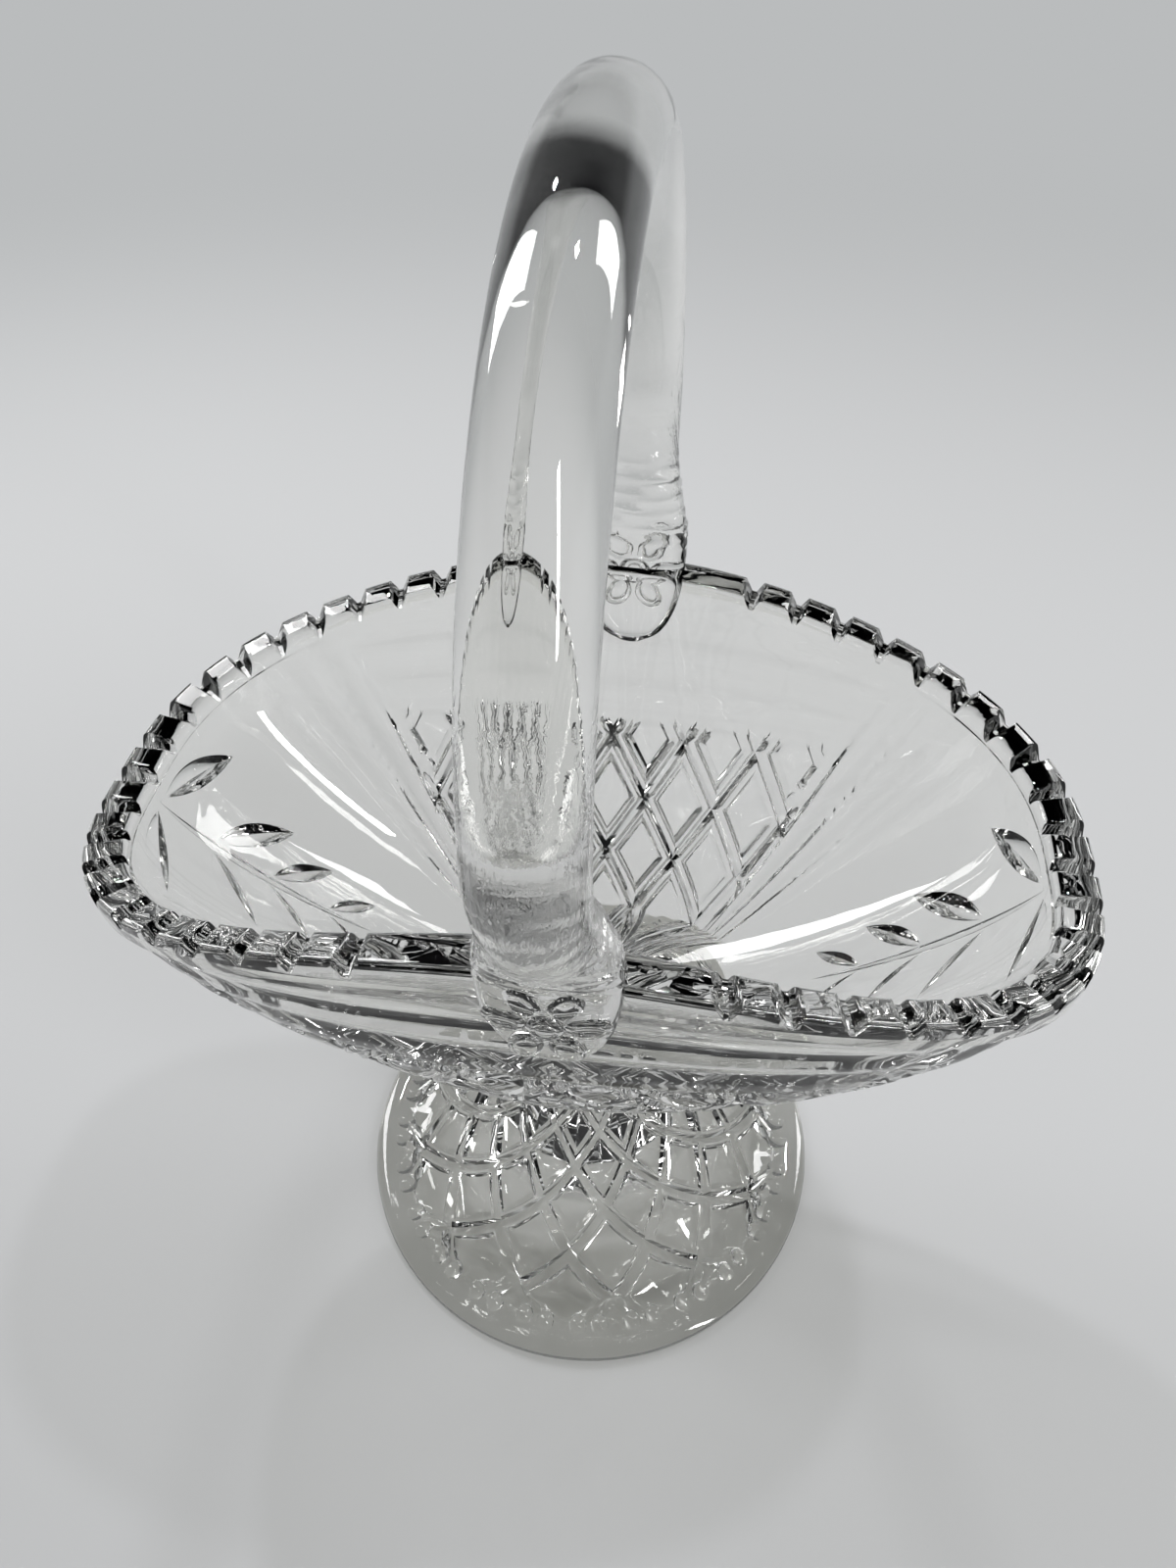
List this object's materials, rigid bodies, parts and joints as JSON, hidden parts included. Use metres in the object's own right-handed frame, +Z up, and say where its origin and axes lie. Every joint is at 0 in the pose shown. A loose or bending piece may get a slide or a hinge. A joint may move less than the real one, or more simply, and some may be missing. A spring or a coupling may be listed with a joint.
{
  "type": "glass basket",
  "caption": "Footed clear cut-glass basket: boat-shaped bowl with toothed rim on a waisted round foot, under one fixed arched handle.",
  "frame": {"origin": "centre of the bottom of the round foot", "axes": "+Z up out of the foot, +X along the bowl from end to end, +Y across the bowl in the plane of the handle"},
  "size_m": [0.19, 0.142, 0.2525],
  "materials": {
    "crystal": "clear, fire polished and wheel cut"
  },
  "bodies": {
    "root": {"glass_basket": "crystal"}
  },
  "joints": []
}
